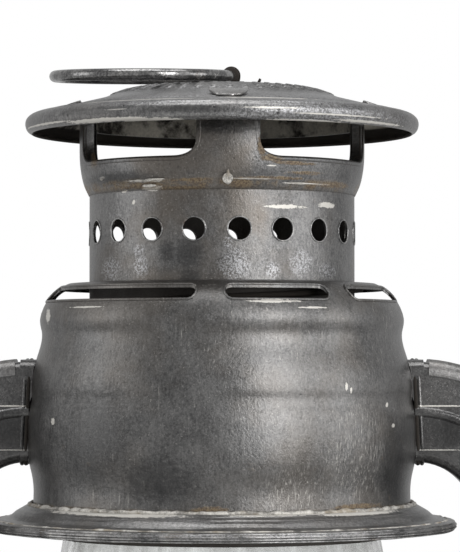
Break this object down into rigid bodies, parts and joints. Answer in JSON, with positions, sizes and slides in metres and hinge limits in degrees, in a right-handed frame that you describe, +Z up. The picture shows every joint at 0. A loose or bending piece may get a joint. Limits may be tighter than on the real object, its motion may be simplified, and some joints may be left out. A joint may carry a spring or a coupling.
{
  "type": "tubular kerosene lantern",
  "caption": "Wick-fed tubular lantern with a tank, side air tubes, a raising globe and chimney, a domed cap with a pull ring and a carrying bail.",
  "frame": {"origin": "centre of the base on the surface that the lantern stands on", "axes": "+Z up, +X to the right side tube, -Y the front with the wick knob"},
  "size_m": [0.1548, 0.108, 0.2556],
  "materials": {
    "galvanised_steel": "aged, dull",
    "aged_cap_steel": "aged, dull",
    "steel_wire": "dull",
    "burner_brass": "aged",
    "clear_glass": "clear",
    "wick_cotton": "woven",
    "cork": "cork"
  },
  "bodies": {
    "frame": {"tank_shell": "galvanised_steel", "tank_bottom": "galvanised_steel", "filler_neck": "burner_brass", "burner_collar": "burner_brass", "burner_cup": "galvanised_steel", "burner_base": "burner_brass", "wick_tube": "burner_brass", "burner_gallery": "burner_brass", "burner_dome": "burner_brass", "air_tube_left": "galvanised_steel", "tube_seam_left": "galvanised_steel", "bail_ear_left": "galvanised_steel", "air_tube_right": "galvanised_steel", "tube_seam_right": "galvanised_steel", "bail_ear_right": "galvanised_steel", "lever_pivot": "galvanised_steel", "air_chamber": "galvanised_steel", "chamber_brim": "galvanised_steel", "chimney_spring": "steel_wire"},
    "filler_gasket": {"filler_gasket": "cork"},
    "filler_cap": {"filler_cap": "burner_brass"},
    "globe_carriage": {"globe_plate": "galvanised_steel", "globe": "clear_glass", "guard_front_rising": "steel_wire", "guard_front_falling": "steel_wire", "guard_back_rising": "steel_wire", "guard_back_falling": "steel_wire", "guard_hoop": "steel_wire", "lift_lug": "galvanised_steel"},
    "chimney": {"chimney_tube": "galvanised_steel", "chimney_bell": "galvanised_steel", "chimney_crown": "aged_cap_steel", "crown_pip": "aged_cap_steel", "cap": "aged_cap_steel", "ring_clip": "aged_cap_steel", "clip_rivet": "aged_cap_steel"},
    "pull_ring": {"pull_ring": "steel_wire"},
    "lift_lever": {"lift_lever": "galvanised_steel"},
    "bail": {"bail_wire": "steel_wire"},
    "wick_spindle": {"wick_shaft": "steel_wire", "wick_wheel": "burner_brass", "wick_knob": "steel_wire"},
    "wick": {"wick": "wick_cotton"}
  },
  "joints": [
    {"name": "lever_turn", "type": "hinge", "parent": "frame", "child": "lift_lever", "pos_m": [0.0606, -0.008, 0.07291], "axis": [0, 1, 0], "range_deg": [0, 30.1]},
    {"name": "globe_lift", "type": "slide", "parent": "frame", "child": "globe_carriage", "axis": [0, 0, 1], "range_m": [0, 0.0138]},
    {"name": "chimney_lift", "type": "slide", "parent": "globe_carriage", "child": "chimney", "axis": [0, 0, 1], "range_m": [0, 0.018], "stiffness_N_per_m": 60, "springref_m": -0.03, "deforming": ["chimney_spring"]},
    {"name": "ring_turn", "type": "hinge", "parent": "chimney", "child": "pull_ring", "pos_m": [0.00185, 0, 0.2532], "axis": [0, 0.9976, 0.0698], "range_deg": [0, 176]},
    {"name": "bail_swing", "type": "hinge", "parent": "frame", "child": "bail", "pos_m": [0, 0, 0.16], "axis": [1, 0, 0], "range_deg": [0, 316]},
    {"name": "wick_turn", "type": "hinge", "parent": "frame", "child": "wick_spindle", "pos_m": [0.0053, 0, 0.061], "axis": [0, 1, 0], "range_deg": [-150, 90]},
    {"name": "wick_feed", "type": "slide", "parent": "frame", "child": "wick", "axis": [0, 0, 1], "range_m": [-0.01, 0.006]},
    {"name": "filler_rise", "type": "slide", "parent": "frame", "child": "filler_gasket", "axis": [0, 0, 1], "range_m": [0, 0.0031]},
    {"name": "filler_turn", "type": "hinge", "parent": "filler_gasket", "child": "filler_cap", "pos_m": [-0.027, -0.027, 0.05], "axis": [0, 0, 1], "range_deg": [0, 540]}
  ],
  "couplings": [
    {"joint": "lever_turn", "follows": "globe_lift", "rad_per_m": 38.03},
    {"joint": "wick_feed", "follows": "wick_turn", "m_per_rad": 0.0038},
    {"joint": "filler_rise", "follows": "filler_turn", "m_per_rad": 0.00031831}
  ]
}
